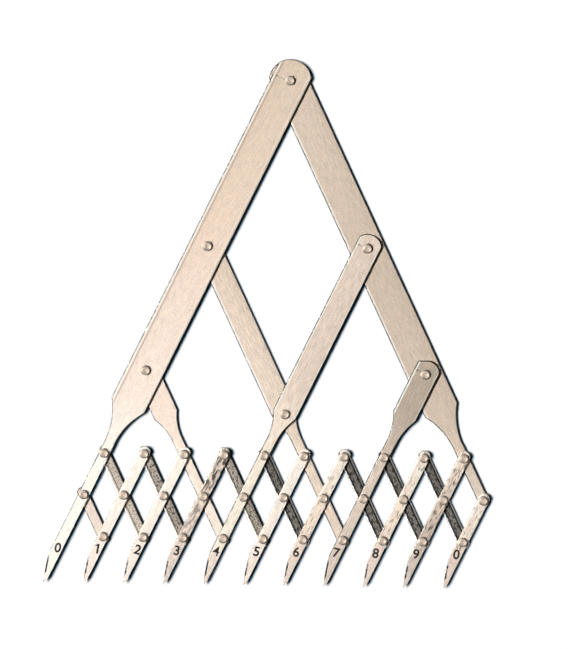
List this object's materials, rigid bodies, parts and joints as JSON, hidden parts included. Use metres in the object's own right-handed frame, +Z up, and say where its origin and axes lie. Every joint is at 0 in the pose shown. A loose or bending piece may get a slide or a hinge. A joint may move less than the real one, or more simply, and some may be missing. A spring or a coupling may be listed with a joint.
{
  "type": "ten point divider",
  "caption": "Lazy-tongs divider of riveted flat metal bars whose row of numbered points opens and closes to mark off equal spaces.",
  "frame": {"origin": "on the apex rivet's axis, at the level of the flat rear rivet heads that the tool lies on", "axes": "+X along the row of points to the right, +Y from the points to the apex, +Z up out of the front face"},
  "size_m": [0.154, 0.1822, 0.004],
  "materials": {
    "pale_metal": "pale warm plated steel, satin",
    "warm_metal": "warm beige plated steel, satin",
    "grey_metal": "plated steel in grey-brown, fine grain along the bar",
    "dark_metal": "plated steel that mirrors dark surroundings, fine grain along the bar",
    "rivet_metal": "bright plated steel, domed and burnished"
  },
  "bodies": {
    "left_arm": {"left_arm": "pale_metal", "middle_rivet_00": "rivet_metal", "upper_rivet_00": "rivet_metal", "brace_rivet_03_00": "rivet_metal", "brace_rivet_06_00": "rivet_metal", "apex_rivet": "rivet_metal"},
    "right_arm": {"right_arm": "warm_metal"},
    "link_06": {"link_06": "warm_metal"},
    "link_03": {"link_03": "pale_metal"},
    "link_01": {"link_01": "grey_metal"},
    "link_00": {"link_00": "warm_metal"},
    "leg_04": {"leg_04": "warm_metal", "lower_rivet_04": "rivet_metal", "middle_rivet_04": "rivet_metal", "upper_rivet_04": "rivet_metal", "brace_rivet_06_04": "rivet_metal", "brace_rivet_10_04": "rivet_metal"},
    "leg_07": {"leg_07": "grey_metal", "lower_rivet_07": "rivet_metal", "middle_rivet_07": "rivet_metal", "upper_rivet_07": "rivet_metal", "brace_rivet_10_07": "rivet_metal"},
    "leg_09": {"leg_09": "grey_metal", "lower_rivet_09": "rivet_metal", "middle_rivet_09": "rivet_metal", "upper_rivet_09": "rivet_metal"},
    "leg_10": {"leg_10": "warm_metal", "lower_rivet_10": "rivet_metal", "middle_rivet_10": "rivet_metal"},
    "leg_05": {"leg_05": "warm_metal", "lower_rivet_05": "rivet_metal", "middle_rivet_05": "rivet_metal", "upper_rivet_05": "rivet_metal"},
    "leg_06": {"leg_06": "warm_metal", "lower_rivet_06": "rivet_metal", "middle_rivet_06": "rivet_metal", "upper_rivet_06": "rivet_metal"},
    "leg_02": {"leg_02": "pale_metal", "lower_rivet_02": "rivet_metal", "middle_rivet_02": "rivet_metal", "upper_rivet_02": "rivet_metal"},
    "leg_03": {"leg_03": "pale_metal", "lower_rivet_03": "rivet_metal", "middle_rivet_03": "rivet_metal", "upper_rivet_03": "rivet_metal"},
    "leg_01": {"leg_01": "pale_metal", "lower_rivet_01": "rivet_metal", "middle_rivet_01": "rivet_metal", "upper_rivet_01": "rivet_metal"},
    "link_05": {"link_05": "grey_metal"},
    "link_04": {"link_04": "grey_metal"},
    "link_08": {"link_08": "dark_metal"},
    "link_07": {"link_07": "dark_metal"},
    "link_09": {"link_09": "dark_metal"},
    "link_02": {"link_02": "grey_metal"},
    "leg_08": {"leg_08": "warm_metal", "lower_rivet_08": "rivet_metal", "middle_rivet_08": "rivet_metal", "upper_rivet_08": "rivet_metal"}
  },
  "joints": [
    {"name": "right_arm_hinge", "type": "hinge", "parent": "left_arm", "child": "right_arm", "pos_m": [0, 0, 0.002], "axis": [0, 0, 1], "range_deg": [-36.5, 96.5]},
    {"name": "link_06_hinge", "type": "hinge", "parent": "left_arm", "child": "link_06", "pos_m": [-0.02766, -0.05771, 0.002], "axis": [0, 0, 1], "range_deg": [-36.5, 96.5]},
    {"name": "link_03_hinge", "type": "hinge", "parent": "left_arm", "child": "link_03", "pos_m": [-0.04841, -0.101, 0.002], "axis": [0, 0, 1], "range_deg": [-36.5, 96.5]},
    {"name": "link_01_hinge", "type": "hinge", "parent": "left_arm", "child": "link_01", "pos_m": [-0.06224, -0.12985, 0.002], "axis": [0, 0, 1], "range_deg": [-36.5, 96.5]},
    {"name": "link_00_hinge", "type": "hinge", "parent": "left_arm", "child": "link_00", "pos_m": [-0.06916, -0.14428, 0.002], "axis": [0, 0, 1], "range_deg": [-36.5, 96.5]},
    {"name": "leg_04_hinge", "type": "hinge", "parent": "right_arm", "child": "leg_04", "pos_m": [0.02766, -0.05771, 0.002], "axis": [0, 0, 1], "range_deg": [-96.5, 36.5]},
    {"name": "leg_07_hinge", "type": "hinge", "parent": "right_arm", "child": "leg_07", "pos_m": [0.04841, -0.101, 0.002], "axis": [0, 0, 1], "range_deg": [-96.5, 36.5]},
    {"name": "leg_09_hinge", "type": "hinge", "parent": "right_arm", "child": "leg_09", "pos_m": [0.06224, -0.12985, 0.002], "axis": [0, 0, 1], "range_deg": [-96.5, 36.5]},
    {"name": "leg_10_hinge", "type": "hinge", "parent": "right_arm", "child": "leg_10", "pos_m": [0.06916, -0.14428, 0.002], "axis": [0, 0, 1], "range_deg": [-96.5, 36.5]},
    {"name": "leg_05_hinge", "type": "hinge", "parent": "link_06", "child": "leg_05", "pos_m": [0.00692, -0.12985, 0.002], "axis": [0, 0, 1], "range_deg": [-96.5, 36.5]},
    {"name": "leg_06_hinge", "type": "hinge", "parent": "link_06", "child": "leg_06", "pos_m": [0.01383, -0.14428, 0.002], "axis": [0, 0, 1], "range_deg": [-96.5, 36.5]},
    {"name": "leg_02_hinge", "type": "hinge", "parent": "link_03", "child": "leg_02", "pos_m": [-0.03458, -0.12985, 0.002], "axis": [0, 0, 1], "range_deg": [-96.5, 36.5]},
    {"name": "leg_03_hinge", "type": "hinge", "parent": "link_03", "child": "leg_03", "pos_m": [-0.02766, -0.14428, 0.002], "axis": [0, 0, 1], "range_deg": [-96.5, 36.5]},
    {"name": "leg_01_hinge", "type": "hinge", "parent": "link_01", "child": "leg_01", "pos_m": [-0.05533, -0.14428, 0.002], "axis": [0, 0, 1], "range_deg": [-96.5, 36.5]},
    {"name": "link_05_hinge", "type": "hinge", "parent": "leg_04", "child": "link_05", "pos_m": [-0.00692, -0.12985, 0.002], "axis": [0, 0, 1], "range_deg": [-36.5, 96.5]},
    {"name": "link_04_hinge", "type": "hinge", "parent": "leg_04", "child": "link_04", "pos_m": [-0.01383, -0.14428, 0.002], "axis": [0, 0, 1], "range_deg": [-36.5, 96.5]},
    {"name": "link_08_hinge", "type": "hinge", "parent": "leg_07", "child": "link_08", "pos_m": [0.03458, -0.12985, 0.002], "axis": [0, 0, 1], "range_deg": [-36.5, 96.5]},
    {"name": "link_07_hinge", "type": "hinge", "parent": "leg_07", "child": "link_07", "pos_m": [0.02766, -0.14428, 0.002], "axis": [0, 0, 1], "range_deg": [-36.5, 96.5]},
    {"name": "link_09_hinge", "type": "hinge", "parent": "leg_09", "child": "link_09", "pos_m": [0.05533, -0.14428, 0.002], "axis": [0, 0, 1], "range_deg": [-36.5, 96.5]},
    {"name": "link_02_hinge", "type": "hinge", "parent": "leg_02", "child": "link_02", "pos_m": [-0.0415, -0.14428, 0.002], "axis": [0, 0, 1], "range_deg": [-36.5, 96.5]},
    {"name": "leg_08_hinge", "type": "hinge", "parent": "link_08", "child": "leg_08", "pos_m": [0.0415, -0.14428, 0.002], "axis": [0, 0, 1], "range_deg": [-96.5, 36.5]}
  ],
  "couplings": [
    {"joint": "link_06_hinge", "follows": "right_arm_hinge", "ratio": 1},
    {"joint": "link_03_hinge", "follows": "right_arm_hinge", "ratio": 1},
    {"joint": "link_01_hinge", "follows": "right_arm_hinge", "ratio": 1},
    {"joint": "link_00_hinge", "follows": "right_arm_hinge", "ratio": 1},
    {"joint": "leg_04_hinge", "follows": "right_arm_hinge", "ratio": -1},
    {"joint": "leg_07_hinge", "follows": "right_arm_hinge", "ratio": -1},
    {"joint": "leg_09_hinge", "follows": "right_arm_hinge", "ratio": -1},
    {"joint": "leg_10_hinge", "follows": "right_arm_hinge", "ratio": -1},
    {"joint": "leg_05_hinge", "follows": "right_arm_hinge", "ratio": -1},
    {"joint": "leg_06_hinge", "follows": "right_arm_hinge", "ratio": -1},
    {"joint": "leg_02_hinge", "follows": "right_arm_hinge", "ratio": -1},
    {"joint": "leg_03_hinge", "follows": "right_arm_hinge", "ratio": -1},
    {"joint": "leg_01_hinge", "follows": "right_arm_hinge", "ratio": -1},
    {"joint": "link_05_hinge", "follows": "right_arm_hinge", "ratio": 1},
    {"joint": "link_04_hinge", "follows": "right_arm_hinge", "ratio": 1},
    {"joint": "link_08_hinge", "follows": "right_arm_hinge", "ratio": 1},
    {"joint": "link_07_hinge", "follows": "right_arm_hinge", "ratio": 1},
    {"joint": "link_09_hinge", "follows": "right_arm_hinge", "ratio": 1},
    {"joint": "link_02_hinge", "follows": "right_arm_hinge", "ratio": 1},
    {"joint": "leg_08_hinge", "follows": "right_arm_hinge", "ratio": -1}
  ]
}
